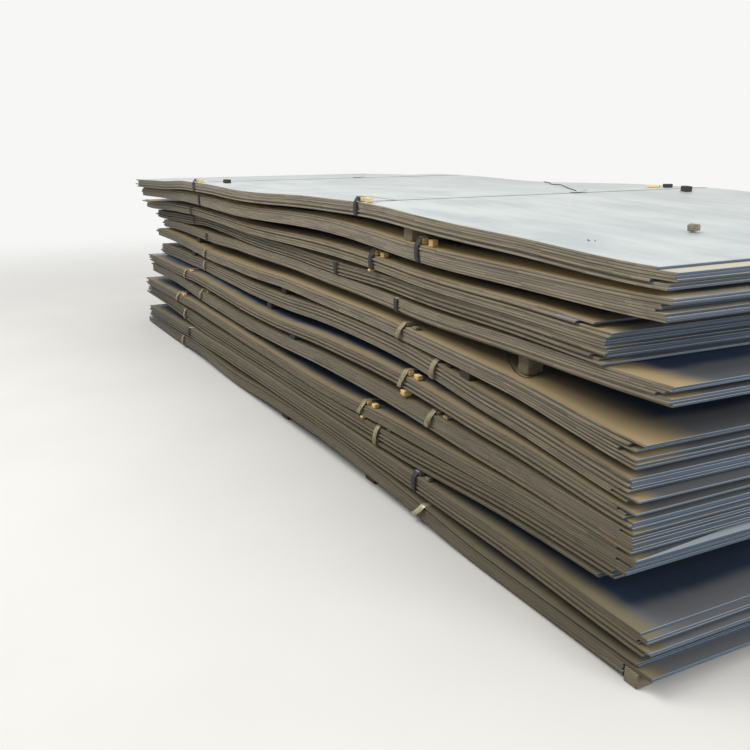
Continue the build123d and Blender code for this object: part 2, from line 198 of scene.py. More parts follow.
class PlateStackColours(bpy.types.PropertyGroup):
    """Colours of the finishes."""

    # The top sheet's two pale greys are a painted reflection of bright light on its dark mill scale, mixed
    # by its wear streaks.
    top_pale_reflection: colour_property("Top sheet, pale", "Worn and dusty mill scale on the top sheet", "#ccd1ce")
    top_grey_reflection: colour_property("Top sheet, grey", "Cleaner mill scale on the top sheet", "#b3babb")
    # The mill scale's strong, saturated blue is partly a painted tint of blue skylight in the shaded gaps
    # between the bundles.
    scale_blue: colour_property("Mill scale", "Mill scale of the faces between the bundles", "#33425f")
    scale_dull: colour_property("Dull scale", "The same scale where it has dulled", "#323c4c")
    # Worn scale: grey that is partly wear and partly painted light on the lit strip at the ends.
    scale_worn_and_lit: colour_property("Worn scale", "Worn mill scale towards the ends", "#76787a")
    ledge_dust: colour_property("Ledge dust", "Dust on the ledges along the upper sides", "#b8a074")
    dust_grey: colour_property("Grey dust", "Dust on the ledges of the lower bundles", "#716a53")
    # End dust: the ledge dust made paler as painted light, where light from above falls strongly on the
    # upper bundles' ends.
    lit_end_dust: colour_property("End dust", "Paler dust on the upper bundles' end ledges", "#c4bda8")
    # The sides' tan-olive and the ends' blue-grey are partly dust and partly painted light: warm light along
    # the sides and cool daylight on the ends.
    side_olive: colour_property("Upper edges", "Dusty sheared edges of the upper bundles", "#a69c88")
    side_dark: colour_property("Lower edges", "Grimy sheared edges of the lower bundles", "#756d5a")
    side_slate: colour_property("Far edges", "Cleaner sheared edges towards the far end", "#4c5154")
    # Edge grime: grime on the edges, and also painted shade on the rounds that face down into the lines
    # between the plates.
    edge_grime_and_shade: colour_property("Edge grime", "Grime in the lines between the plates", "#35322b")
    end_grey: colour_property("End edges", "Sheared edges across the ends", "#5c6d82")
    end_shade: colour_property("Dark end edges", "Darkest of the edges across the ends", "#1d2430")
    # End rims: a painted highlight on the upward-facing rounds at the ends, where the light catches them.
    end_rim: colour_property("End rims", "Bright top edge that the shear leaves at the ends", "#b4bcc2")
    rust: colour_property("Rust", "Fresh rust on the edges", "#b06f3e")
    # Blued strap: dark blued steel, darkened further as painted shade and dark reflection on the strap's
    # fronts.
    strap_blue_shaded: colour_property("Blued strap", "Blued steel strap", "#131517")
    strap_blue_worn: colour_property("Worn blued strap", "Blued strap where it is worn", "#26292c")
    strap_zinc: colour_property("Zinc strap", "Dusty zinc coated strap", "#a89a78")
    strap_zinc_worn: colour_property("Worn zinc strap", "Zinc coated strap where it is dull", "#7d7762")
    strap_bright: colour_property("Bright strap", "Zinc coated strap that has kept its shine", "#cfc9a6")
    strap_bright_worn: colour_property("Worn bright strap", "The same where it is dull", "#a8a283")
    # Strap pale reflection: a painted reflection of bright light on the flat runs of blued strap.
    strap_pale_reflection: colour_property("Strap dust", "Dust on the flat runs of blued strap", "#c3c8c6")
    scratch: colour_property("Scratches", "Bare steel in the scratches of a strap", "#b9bcb8")
    wire_black: colour_property("Tie wire", "Black annealed wire", "#26272a")
    wire_worn: colour_property("Worn tie wire", "Black annealed wire where it is worn", "#3a3a3a")
    pine: colour_property("Pine", "Fresh split pine", "#ffe2a2")
    pine_grain: colour_property("Pine grain", "Late wood of fresh pine", "#e3b26a")
    cream_pine: colour_property("Cream pine", "Paler split pine of the top bundle", "#f8e8b8")
    cream_grain: colour_property("Cream pine grain", "Late wood of the paler pine", "#c9a868")
    brown_pine: colour_property("Brown pine", "Older split pine", "#e0cb9e")
    brown_grain: colour_property("Brown pine grain", "Late wood of the older pine", "#ab9064")
    dark_wood: colour_property("Dark wood", "Stained softwood", "#5a463c")
    dark_grain: colour_property("Dark wood grain", "Late wood of stained softwood", "#33261f")
    grey_wood: colour_property("Grey wood", "Weathered softwood", "#9a9079")
    grey_grain: colour_property("Grey wood grain", "Late wood of weathered softwood", "#655e53")
    tarred_wood: colour_property("Tarred wood", "Blackened softwood of spacers and dunnage", "#3f3935")
    tarred_grain: colour_property("Tarred wood grain", "Late wood of blackened softwood", "#2f302e")
    wood_stain: colour_property("Wood stain", "Dirt that has soaked into the wood", "#3b342d")
    floor: colour_property("Floor", "Plain pale floor", "#e4e1db")
    floor_mottle: colour_property("Floor mottle", "Faint darker patches of the floor", "#a8a59e")
    floor_bounce: colour_property("Floor bounce", "Colour of the light off the floor", "#8d7f6a")
    sky: colour_property("Sky", "Colour of the soft light from above", "#f4f6f8")
    backdrop: colour_property("Backdrop", "White behind the stack", "#f7f7f5")


def sizes():
    """The sizes that a user may change."""
    return bpy.context.scene.plate_stack_sizes


def paint(name):
    """One of the colours that a user may change, as a plain value."""
    return tuple(getattr(bpy.context.scene.plate_stack_colours, name))


def mixed(first, second, share):
    """Two plain colours mixed by share."""
    return tuple(a + (b - a) * share for a, b in zip(first, second))


def in_use(sockets):
    """The sockets that a node's settings leave in use."""
    return [socket for socket in sockets if socket.enabled]


def add_node(tree, kind, *inputs, named=None, **settings):
    """Add a shader node: its settings, and its inputs in order or by name, as values, sockets or nodes."""
    node = tree.nodes.new("ShaderNode" + kind)
    for name, value in (USUAL_SETTINGS.get(kind, {}) | settings).items():
        setattr(node, name, value)
    pairs = list(zip(in_use(node.inputs), inputs))
    pairs += [(node.inputs[name], value) for name, value in (named or {}).items()]
    for socket, value in pairs:
        if isinstance(value, bpy.types.Node):
            value = in_use(value.outputs)[0]
        if isinstance(value, bpy.types.NodeSocket):
            tree.links.new(value, socket)
        else:
            socket.default_value = value
    return node


def new_material(name):
    """An empty node material, and the function that adds a node to it."""
    material = bpy.data.materials.new(name)
    material.use_nodes = True
    material.node_tree.nodes.clear()
    return material, partial(add_node, material.node_tree)


def scaled_noise(add, vector, pattern, detail=4.0, roughness=0.6, shift=(0.0, 0.0, 0.0)):
    """Noise whose patches have the given real size along X, Y and Z."""
    scale = [1 / size for size in pattern]
    place = add("Mapping", named={"Vector": vector, "Location": shift, "Scale": scale})
    return add("TexNoise", place, 1.0, detail, roughness)


def rim_distance(add, place, inward, low, high):
    """Distance in from the nearer of two parallel rims, and from the low one, along a level direction."""
    along = add("VectorMath", place, inward, operation="DOT_PRODUCT")
    from_low = add("Math", along, low, operation="SUBTRACT")
    from_high = add("Math", high, along, operation="SUBTRACT")
    return add("Math", from_low, from_high, operation="MINIMUM"), from_low


class Footprint:
    """How a bundle lies in plan: the level directions along and across it, and its reach in each."""

    def __init__(self, node):
        points = [Vector(vertex.co.xy) for vertex in NODES[node].data.vertices]
        far = min(points, key=lambda point: point.x + point.y)
        near = max(points, key=lambda point: point.x - point.y)
        along = (near - far).normalized()
        self.along = Vector((along.x, along.y, 0.0))
        self.across = Vector((-along.y, along.x, 0.0))
        self.spans = []
        for way in (self.along, self.across):
            reach = [point.dot(way.xy) for point in points]
            self.spans.append((min(reach), max(reach)))


class PlateLook:
    """What sets one bundle's plates apart: colours, where dust and rust lie, and a shift of the patterns."""

    def __init__(self, number, node):
        label = bundle_of(node)
        low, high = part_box(node)
        self.plan = Footprint(node)
        self.on_top = node == TOP_NODE
        # On the top sheet the face colours are a painted reflection; below it they are the mill scale's own,
        # its strong blue partly painted skylight.
        self.face = paint("top_grey_reflection" if self.on_top else "scale_blue")
        self.face_worn = paint("top_pale_reflection" if self.on_top else "scale_dull")
        self.side = mixed(paint("side_dark"), paint("side_olive"), UPPER_SIDES[number])
        self.dust = mixed(paint("dust_grey"), paint("ledge_dust"), TAN_DUST[number])
        self.dust_and_light_reach = DUST_AND_LIGHT_REACH.get(label, USUAL_DUST_AND_LIGHT_REACH)
        self.lit_end_dust = LIT_DUSTY_ENDS.get(label, 0.0)
        self.rust_spot = (high.x - RUST_FROM_END, low.y, low.z) if label == RUSTY_BUNDLE else None
        self.shift = (number * 3.1, number * 1.7, number * 0.9)


def edge_tones(add, look, blotches, from_far):
    """The side edges' colour, the same turned cooler towards the far end, and the end edges' colour."""
    plate_tone = add("Math", add("NewGeometry").outputs["Random Per Island"], 0.7, operation="MULTIPLY")
    light = add("Math", blotches, 0.5, plate_tone, operation="MULTIPLY_ADD")
    shaded = add("MapRange", light, 0.15, 1.0, 0.5, 1.0)
    # Tan-olive along the sides and blue-grey across the ends: partly dust, partly painted warm and cool
    # light.
    side = add("Mix", shaded, paint("edge_grime_and_shade"), look.side)
    cooler = add("MapRange", from_far, 0.0, COOL_SIDE_LENGTH, 0.7, 0.0)
    cooler = add("Math", cooler, shaded, operation="MULTIPLY")
    cool_side = add("Mix", cooler, side, paint("side_slate"))
    end_light = add("MapRange", light, 0.15, 0.95, 0.3, 1.0)
    return side, cool_side, add("Mix", end_light, paint("end_shade"), paint("end_grey"))


def rust_stain(add, colour, place, blotches, spot):
    """The colour with a rust stain at a spot, broken up by the blotches."""
    away = add("VectorMath", place, spot, operation="SUBTRACT")
    away = add("VectorMath", away, RUST_REACH, operation="DIVIDE")
    away = add("VectorMath", away, operation="LENGTH")
    near = add("MapRange", away, 0.5, 1.0, 1.0, 0.0)
    broken = add("MapRange", blotches, 0.25, 0.45)
    return add("Mix", add("Math", near, broken, operation="MULTIPLY"), colour, paint("rust"))


def settle_dust(add, colour, look, ragged, end_rim, side_rim, looks_up):
    """Faces' colour worn at the ends, dusty at the sides, both partly painted light, and the dust's share.
    """
    in_end = add("Math", end_rim, ragged, operation="ADD")
    in_side = add("Math", side_rim, ragged, operation="ADD")
    # Worn grey near the ends, also painted light on the lit strip there; the dark scale beyond it paints the
    # shade of the bundle above.
    worn = add("MapRange", in_end, *WORN_AND_LIT_END, 0.9, 0.0)
    worn = add("Math", worn, looks_up, operation="MULTIPLY")
    colour = add("Mix", worn, colour, paint("scale_worn_and_lit"))
    # Tan dust in from the sides, ending short so that it also paints the lit strip ahead of the shade under
    # the bundle above.
    dusty = add("MapRange", in_side, *look.dust_and_light_reach, 0.95, 0.0)
    dusty = add("Math", dusty, looks_up, operation="MULTIPLY")
    return add("Mix", dusty, colour, look.dust), dusty


def hot_rolled_plate(name, look):
    """Hot-rolled structural steel with its mill scale on, sheared to size and stored in a dusty shed.

    Rolling leaves a blue-black oxide skin with long soft streaks along X and cloudy wear; its strong blue
    is partly painted skylight, and the top sheet's pale greys are a painted reflection of bright light.
    Air-borne dust settles as a tan film on the ledges that stick out along the sides, and the scale wears
    to grey at the ends; both stop a short way in, so that they also paint the lit strips, and the dark
    scale beyond them the shade under the bundle above. The pale dust on the upper bundles' end ledges is
    painted light from above. Shearing leaves matt edges, each plate's a little different: dusty olive
    along the sides and blue-grey across the ends, partly painted warm and cool light, with a painted
    highlight on the upper round at the ends. Grime gathers in the lines between the plates, and painted
    shade darkens the rounds that face down into them.
    """
    material, add = new_material(name)
    coords = add("TexCoord")
    place = coords.outputs["Object"]
    facing = add("SeparateXYZ", coords.outputs["Normal"])
    upward = facing.outputs["Z"]
    is_face = add("MapRange", add("Math", upward, operation="ABSOLUTE"), *FACE_NORMAL)
    lengthwise = add("Math", facing.outputs["X"], operation="ABSOLUTE")
    is_end = add("Math", lengthwise, END_NORMAL, operation="GREATER_THAN")
    looks_up = add("Math", upward, 0.0, operation="GREATER_THAN")
    end_rim, from_far = rim_distance(add, place, look.plan.along, *look.plan.spans[0])
    side_rim, _ = rim_distance(add, place, look.plan.across, *look.plan.spans[1])

    streaks = scaled_noise(add, place, (0.9, 0.07, 0.07), 5.0, shift=look.shift)
    clouds = scaled_noise(add, place, (0.45, 0.3, 0.3), shift=look.shift)
    blotches = scaled_noise(add, place, (0.4, 0.4, 0.12), 1.0, 0.5, look.shift)
    cloudy = add("Math", clouds, 0.6, operation="MULTIPLY")
    wear = add("Math", streaks, 0.4, cloudy, operation="MULTIPLY_ADD")
    face = add("Mix", add("MapRange", wear, 0.36, 0.62), look.face, look.face_worn)
    sheen = add("MapRange", wear, 0.3, 0.7, 0.36, 0.55)
    if not look.on_top:
        ragged = add("Math", add("Math", clouds, 0.5, operation="SUBTRACT"), 0.08, operation="MULTIPLY")
        face, dusty = settle_dust(add, face, look, ragged, end_rim, side_rim, looks_up)
        sheen = add("Mix", dusty, 0.6, 0.85, data_type="FLOAT")
    # Pale dust on the end ledges of the upper bundles; its paleness is painted light from above.
    lit_pale_ledge = add("MapRange", end_rim, END_LEDGE, 1.2 * END_LEDGE, look.lit_end_dust, 0.0)
    lit_pale_ledge = add("Math", lit_pale_ledge, looks_up, operation="MULTIPLY")
    face = add("Mix", lit_pale_ledge, face, paint("lit_end_dust"))

    grimy_side, side, end = edge_tones(add, look, blotches, from_far)
    outer_rim = add("MapRange", side_rim, OUTER_RIM, 2 * OUTER_RIM, 1.0, 0.0)
    face = add("Mix", outer_rim, face, grimy_side)
    if look.rust_spot:
        side = rust_stain(add, side, place, blotches, look.rust_spot)
    # Painted highlight on the upward-facing rounds of the end edges.
    painted_end_highlight = add("MapRange", upward, 0.1, 0.35, 0.0, 0.75)
    end = add("Mix", painted_end_highlight, end, paint("end_rim"))
    # Painted shade: the rounds that face down into the lines between the plates take the grime colour.
    painted_under_shade = add("MapRange", upward, -0.35, -0.1, 0.55, 0.0)
    edge = add("Mix", is_end, side, end)
    edge = add("Mix", painted_under_shade, edge, paint("edge_grime_and_shade"))

    relief = add("Math", is_face, wear, operation="MULTIPLY")
    shader = add("BsdfPrincipled", named={
        "Base Color": add("Mix", is_face, edge, face),
        "Roughness": add("Mix", is_face, 0.72, sheen, data_type="FLOAT"),
        "Metallic": add("Math", is_face, 0.25, operation="MULTIPLY"),
        "Normal": add("Bump", named={"Strength": 0.35, "Distance": 0.6 * MM, "Height": relief}),
    })
    add("OutputMaterial", shader)
    return material


def strap_steel(name, colour, worn, flat_run_colour, metallic, roughness):
    """Cold-rolled steel strapping or tie wire, blued, zinc coated or annealed, and dusty from the shed.

    Drawing it tight over the plates scuffs it along its length, so it has bright scratches along the band
    and dull patches. Where it lies flat it turns to its flat-run colour: on the blued straps a painted
    reflection as pale as the top sheet's, and on the others their own, without the patches. The blued
    strap's dark tones are partly painted shade and dark reflection on its fronts.
    """
    material, add = new_material(name)
    coords = add("TexCoord")
    place = coords.outputs["Object"]
    upward = add("SeparateXYZ", coords.outputs["Normal"]).outputs["Z"]
    scuffs = scaled_noise(add, place, (0.0025, 0.06, 0.06))
    patches = scaled_noise(add, place, (0.03, 0.03, 0.03))
    tone = add("Mix", add("MapRange", patches, 0.35, 0.7), paint(colour), paint(worn))
    scratched = add("MapRange", scuffs, 0.58, 0.75, 0.0, 0.15)
    tone = add("Mix", scratched, tone, paint("scratch"))
    # Flat runs take the flat-run colour: on blued strap a painted pale reflection.
    flat = add("MapRange", upward, 0.8, 0.97, 0.0, 0.92)
    shader = add("BsdfPrincipled", named={
        "Base Color": add("Mix", flat, tone, paint(flat_run_colour)),
        "Roughness": add("MapRange", patches, 0.3, 0.7, roughness - 0.1, roughness + 0.2),
        "Metallic": metallic,
        "Normal": add("Bump", named={"Strength": 0.3, "Distance": 0.4 * MM, "Height": scuffs}),
    })
    add("OutputMaterial", shader)
    return material


def split_softwood(name, early, late, dirt):
    """Softwood packing, sawn and split by hand, with the grain along its longest side.

    The growth rings show as bands of darker late wood along the sides and as arcs on the ends, and the
    torn fibres give a matt, furry surface. The rings are about twice as wide as real ones, so that they
    show.
    """
    material, add = new_material(name)
    place = add("Attribute", attribute_name="grain_place").outputs["Vector"]
    drift = scaled_noise(add, place, (0.12, 0.03, 0.03), 3.0, 0.5)
    parts = add("SeparateXYZ", place)
    across = add("Math", drift, 0.02, parts.outputs["Y"], operation="MULTIPLY_ADD")
    upward = add("Math", parts.outputs["Z"], 0.03, operation="ADD")
    squares = add("Math", upward, upward, operation="MULTIPLY")
    squares = add("Math", across, across, squares, operation="MULTIPLY_ADD")
    rings = add("Math", add("Math", squares, operation="SQRT"), RING_WIDTH, operation="DIVIDE")
    late_band = add("MapRange", add("Math", rings, operation="FRACT"), 0.35, 0.95)
    fibres = scaled_noise(add, place, (0.05, 0.0016, 0.0016), 3.0)
    stain = scaled_noise(add, place, (0.04, 0.025, 0.025))
    wood = add("Mix", late_band, paint(early), paint(late))
    torn = add("MapRange", fibres, 0.45, 0.75, 0.0, 0.45)
    wood = add("Mix", torn, wood, paint(late))
    soaked = add("MapRange", stain, 0.5, 0.8, 0.0, dirt)
    relief = add("Math", late_band, 0.4, fibres, operation="MULTIPLY_ADD")
    shader = add("BsdfPrincipled", named={
        "Base Color": add("Mix", soaked, wood, paint("wood_stain")),
        "Roughness": 0.82,
        "Normal": add("Bump", named={"Strength": 0.5, "Distance": 0.8 * MM, "Height": relief}),
    })
    add("OutputMaterial", shader)
    return material


def seen_rays(add):
    """1 for rays from the camera, in reflections and through glass, and 0 for those that carry light."""
    rays = add("LightPath")
    seen = add("Math", rays.outputs["Is Camera Ray"], rays.outputs["Is Glossy Ray"], operation="MAXIMUM")
    return add("Math", seen, rays.outputs["Is Transmission Ray"], operation="MAXIMUM")


def painted_floor(name):
    """A plain pale floor, matt from wear, that fades into the white backdrop away from the stack.

    The light that it gives back is that of a darker, warmer workshop floor.
    """
    material, add = new_material(name)
    place = add("TexCoord").outputs["Object"]
    mottle = scaled_noise(add, place, (0.8, 0.8, 0.8), 4.0, 0.5)
    mottled = add("MapRange", mottle, 0.3, 0.7, 0.0, 0.06)
    tone = add("Mix", mottled, paint("floor"), paint("floor_mottle"))
    tone = add("Mix", seen_rays(add), paint("floor_bounce"), tone)
    shader = add("BsdfPrincipled", named={"Base Color": tone, "Roughness": 0.85})
    away = add("VectorMath", place, operation="LENGTH")
    gone = add("MapRange", away, *FLOOR_FADE)
    add("OutputMaterial", add("MixShader", gone, shader, add("BsdfTransparent")))
    return material


def new_piece(name, build, materials, replaced=()):
    """Turn the built mesh into a piece that rides with the stack, and hide the nodes that it stands for."""
    if not build.faces:
        raise RuntimeError(f"{name} has no faces")
    mesh = bpy.data.meshes.new(name)
    build.to_mesh(mesh)
    build.free()
    piece = bpy.data.objects.new(name, mesh)
    bpy.context.scene.collection.objects.link(piece)
    for material in materials:
        mesh.materials.append(material)
    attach(piece, "root")
    if replaced:
        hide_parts(*replaced)
    return piece


def solids_of(node):
    """The corner points of each separate solid of a node."""
    build = bmesh.new()
    build.from_mesh(NODES[node].data)
    bmesh.ops.remove_doubles(build, verts=build.verts, dist=0.01 * MM)
    left = set(build.verts)
    solids = []
    while left:
        found = [left.pop()]
        for vertex in found:
            for edge in vertex.link_edges:
                other = edge.other_vert(vertex)
                if other in left:
                    left.remove(other)
                    found.append(other)
        solids.append([vertex.co.copy() for vertex in found])
    build.free()
    return sorted(solids, key=lambda points: (round(points[0].x, 2), round(points[0].y, 2)))


def grouped(points, key, reach):
    """Points gathered into groups that lie within reach of each other by the key's measure."""
    groups = []
    for point in points:
        for group in groups:
            if (key(point) - key(group[0])).length < reach:
                group.append(point)
                break
        else:
            groups.append([point])
    return groups


def middle_of(points):
    """The mean of some points."""
    return sum(points, Vector()) / len(points)


def width_and_slope(points):
    """How wide a band or seal is along X, and how much it rises along X, from its corner points."""
    centre = middle_of(points)
    left = middle_of([point for point in points if point.x < centre.x])
    right = middle_of([point for point in points if point.x >= centre.x])
    return right.x - left.x, (right.z - left.z) / (right.x - left.x)


def block_corners(points):
    """Eight corners of a block as two rings, low and high, that start along its longest side."""
    columns = grouped(points, lambda point: Vector(point.xy), SAME_CORNER)
    centre = middle_of(points)
    columns.sort(key=lambda column: math.atan2(column[0].y - centre.y, column[0].x - centre.x))
    low = [min(column, key=lambda point: point.z) for column in columns]
    high = [max(column, key=lambda point: point.z) for column in columns]
    spans = [(low[(i + 1) % 4] - low[i]).length for i in range(4)]
    first = spans.index(max(spans))
    return [low[(first + i) % 4] for i in range(4)], [high[(first + i) % 4] for i in range(4)]


def spaced(length, step, arris):
    """Places from 0 to length about a step apart, with extra ones near the ends for a rounded arris."""
    count = max(2, round((length - 2 * arris) / step))
    inner = [arris + (length - 2 * arris) * i / count for i in range(count + 1)]
    return [0.0, arris * 0.3] + inner + [length - arris * 0.3, length]


def add_block(build, grain, corners, step, arris, tear, seed, kind=0):
    """Add a block of split wood: rounded arrises, fibres torn at its two ends, all inside its corners.

    Step gives the sizes of its facets along, across and up, and kind is the index of its material.
    """
    low, high = corners
    length = (low[1] - low[0]).length
    width = (low[3] - low[0]).length
    height = (high[0] - low[0]).length
    arris = min(arris, 0.3 * height, 0.3 * width)
    spans = (length, width, height)
    lines = [spaced(length, step[0], arris), spaced(width, step[1], arris), spaced(height, step[2], arris)]
    counts = [len(line) for line in lines]
    offset = Vector((seed * 0.37, seed * 0.71, seed * 1.13))
    found = {}

    def vertex(key):
        if key not in found:
            place = Vector(lines[axis][key[axis]] for axis in range(3))
            inner = Vector(min(max(place[axis], arris), spans[axis] - arris) for axis in range(3))
            away = place - inner
            if sum(abs(a) > 1e-9 for a in away) > 1:
                place = inner + away.normalized() * arris
            fibre = noise.noise(Vector((offset.x, place.y * FIBRES, place.z * FIBRES)) + offset)
            lump = noise.noise(Vector((place.x * LUMPS[0], place.y * LUMPS[1], place.z * LUMPS[1])) + offset)
            towards = spans[0] / 2 - place.x
            end_share = max(0.0, 1 - min(place.x, spans[0] - place.x) / (3 * arris))
            place.x += math.copysign(tear * (0.5 + 0.5 * fibre) * end_share, towards)
            for axis in (1, 2):
                inward = (spans[axis] / 2 - place[axis]) / spans[axis]
                place[axis] += inward * 2 * arris * (0.35 + 0.35 * lump)
            u, v, w = (place[axis] / spans[axis] for axis in range(3))
            bottom = low[0].lerp(low[1], u).lerp(low[3].lerp(low[2], u), v)
            top = high[0].lerp(high[1], u).lerp(high[3].lerp(high[2], u), v)
            made = build.verts.new(bottom.lerp(top, w))
            made[grain] = place + offset
            found[key] = made
        return found[key]

    for axis in range(3):
        second, third = (axis + 1) % 3, (axis + 2) % 3
        for side in (0, counts[axis] - 1):
            for i in range(counts[second] - 1):
                for j in range(counts[third] - 1):
                    ring = []
                    for di, dj in ((0, 0), (1, 0), (1, 1), (0, 1)):
                        key = [0, 0, 0]
                        key[axis], key[second], key[third] = side, i + di, j + dj
                        ring.append(vertex(tuple(key)))
                    face = build.faces.new(ring if side else ring[::-1])
                    face.smooth = True
                    face.material_index = kind


def wood_piece(name, node, step, arris, tear, materials, seed, kind_of=None, crumpled=None):
    """A piece of wooden blocks that stands for a node, one block for each of its solids.

    The blocks of the crumpled kind have much rounder arrises and more torn ends.
    """
    build = bmesh.new()
    grain = build.verts.layers.float_vector.new("grain_place")
    for number, points in enumerate(solids_of(node)):
        kind = kind_of(points) if kind_of else 0
        rough = CRUMPLED if kind == crumpled else 1.0
        add_block(build, grain, block_corners(points), step, rough * arris, rough * tear, seed + number,
                  kind)
    return new_piece(name, build, materials, (node,))


def mesh_tree(node):
    """A search tree of a node's faces."""
    build = bmesh.new()
    build.from_mesh(NODES[node].data)
    tree = BVHTree.FromBMesh(build)
    build.free()
    return tree


def height_on(tree, x, y, underside=False):
    """Height of the top, or of the underside, of what a search tree holds at a place in plan."""
    start, way = (-1.0, 1) if underside else (10.0, -1)
    hit = tree.ray_cast(Vector((x, y, start)), Vector((0, 0, way)))
    if hit[0] is None:
        raise RuntimeError(f"nothing above or below {x:.3f}, {y:.3f}")
    return hit[0].z


class BandPath:
    """The middle line of one strap: its corners in order round the bundle, its place and slope along X."""

    def __init__(self, points):
        groups = grouped(points, lambda point: Vector((point.y, point.z)), SAME_CORNER)
        corners = [middle_of(group) for group in groups]
        self.x = middle_of(points).x
        self.width, self.slope = width_and_slope(points)
        middle = middle_of(points).z
        bottom = sorted((c for c in corners if c.z < middle), key=lambda c: c.y)
        top = sorted((c for c in corners if c.z >= middle), key=lambda c: c.y)
        self.corners = [bottom[0]] + top + [bottom[-1]]
        self.front = bottom[0].y
        self.low, self.high = bottom[0].z, top[-1].z


def rounded_loop(corners, bends, steps):
    """A closed line through corners in the YZ plane, each rounded by an arc of its own radius."""
    points = []
    count = len(corners)
    for i, corner in enumerate(corners):
        before = (corners[i - 1] - corner).normalized()
        after = (corners[(i + 1) % count] - corner).normalized()
        half = before.angle(after) / 2
        bend = bends[i]
        reach = bend / math.tan(half)
        centre = corner + (before + after).normalized() * bend / math.sin(half)
        start, end = corner + before * reach, corner + after * reach
        from_centre, to_centre = start - centre, end - centre
        for k in range(steps + 1):
            points.append(centre + from_centre.slerp(to_centre, k / steps).normalized() * bend)
    return points


def join_rings(build, rings, closed):
    """Join each ring of corners to the next with faces, and the last to the first or cap both ends."""
    for ring, following in zip(rings, rings[1:] + rings[:1] if closed else rings[1:]):
        for j in range(len(ring)):
            k = (j + 1) % len(ring)
            build.faces.new((ring[j], ring[k], following[k], following[j])).smooth = True
    if not closed:
        build.faces.new(rings[0][::-1])
        build.faces.new(rings[-1])


def add_band(build, points, width, slope, closed):
    """Add a strap's flat band along points, with its width along X, tilted by slope."""
    side = Vector((1.0, 0.0, slope)).normalized()
    rings = []
    count = len(points)
    for i, point in enumerate(points):
        before = points[i - 1] if i or closed else point
        after = points[(i + 1) % count] if i < count - 1 or closed else point
        forward = (after - before).normalized()
        outward = side.cross(forward).normalized()
        half, thick = width / 2, STRAP_GAUGE / 2
        flat = half - STRAP_EDGE_BREAK
        section = ((-half, -thick * 0.4), (-flat, -thick), (flat, -thick), (half, -thick * 0.4),
                   (half, thick * 0.4), (flat, thick), (-flat, thick), (-half, thick * 0.4))
        rings.append([build.verts.new(point + side * a + outward * b) for a, b in section])
    join_rings(build, rings, closed)


def strap_loop(path, lean, bow):
    """The line of a strap pulled tight round its bundle, bowed out and leaning at the front."""
    bends = [sizes().strap_bend] * len(path.corners)
    if len(path.corners) > 4:
        bends[2:5] = PAD_BENDS
    corners = [Vector((0.0, corner.y, corner.z)) for corner in path.corners]
    points = rounded_loop(corners, bends, 6)
    tall = path.corners[1].z - path.low
    full = []
    for i, point in enumerate(points):
        full.append(point)
        following = points[(i + 1) % len(points)]
        if (following - point).length > 30 * MM:
            parts = 10 if abs(following.y - point.y) < 0.1 else 16
            full += [point.lerp(following, k / parts) for k in range(1, parts)]
    made = []
    for point in full:
        share = min(1.0, max(0.0, (point.z - path.low) / tall))
        front = max(0.0, 1 - (point.y - path.front) / BOW_BACK)
        out = bow * math.sin(math.pi * share) ** 0.7 * front
        slip = -lean * (1 - share) ** 1.4 * max(0.0, 1 - (point.y - path.front) / LEAN_BACK)
        made.append(Vector((path.x + slip, point.y - out, point.z + slip * path.slope)))
    return made


def strap_tail(path, seal, lift):
    """The free end of a strap, from inside its seal along the bundle's top and a little up."""
    length = sizes().strap_tail
    start = Vector((path.x, seal.y - 0.3 * length, path.high + STRAP_GAUGE))
    return [start + Vector((0.0, length * 1.3 * t, lift * t ** 2)) for t in (i / 8 for i in range(9))]


def add_folded_seal(build, points):
    """Add a seal: a strip of sheet folded round the strap, with two crimps bitten into each side."""
    depth = sizes().crimp_depth
    centre = middle_of(points)
    low, high = (Vector(pick(point[axis] for point in points) for axis in range(3)) for pick in (min, max))
    half, length = (high.x - low.x) / 2, high.y - low.y
    _, slope = width_and_slope(points)
    tall = high.z - low.z - abs(slope) * 2 * half
    base = (low.z + high.z - tall) / 2
    bend = SEAL_BEND
    profile = ((-0.5 * half, 0.2 * bend), (-half + bend, 0.2 * bend), (-half, bend), (-half, tall - bend),
               (-half + bend, tall), (half - bend, tall), (half, tall - bend), (half, bend),
               (half - bend, 0.2 * bend), (0.5 * half, 0.2 * bend))
    rows = []
    steps = 24
    for i in range(steps + 1):
        t = i / steps
        bite = max(math.exp(-((t - place) * length / CRIMP_WIDTH) ** 2) for place in CRIMP_PLACES)
        row = []
        for across, up in profile:
            outer = max(0.0, abs(across) / half - 0.5) * 2
            u = across - math.copysign(depth * bite * outer, across)
            height = base + up + slope * u + bite * outer * MM
            row.append(build.verts.new((centre.x + u, low.y + length * t, height)))
        rows.append(row)
    for first, second in zip(rows, rows[1:]):
        for j in range(len(profile) - 1):
            build.faces.new((first[j], second[j], second[j + 1], first[j + 1])).smooth = True


def add_wire(build, points, radius, sides=8):
    """Add a round wire along points, with closed ends."""
    rings = []
    count = len(points)
    for i, point in enumerate(points):
        forward = (points[min(i + 1, count - 1)] - points[max(i - 1, 0)]).normalized()
        across = forward.cross(Vector((0, 0, 1))).normalized()
        up = across.cross(forward)
        turns = (2 * math.pi * k / sides for k in range(sides))
        rim = [point + (across * math.cos(a) + up * math.sin(a)) * radius for a in turns]
        rings.append([build.verts.new(place) for place in rim])
    join_rings(build, rings, False)


def smooth_line(points, parts):
    """A curve through points, with a number of parts between each two."""
    ends = [points[0] * 2 - points[1]] + list(points) + [points[-1] * 2 - points[-2]]
    line = []
    for a, b, c, d in zip(ends, ends[1:], ends[2:], ends[3:]):
        for i in range(parts):
            t = i / parts
            line.append(0.5 * (2 * b + (c - a) * t + (2 * a - 5 * b + 4 * c - d) * t ** 2
                               + (3 * b - a - 3 * c + d) * t ** 3))
    return line + [points[-1].copy()]


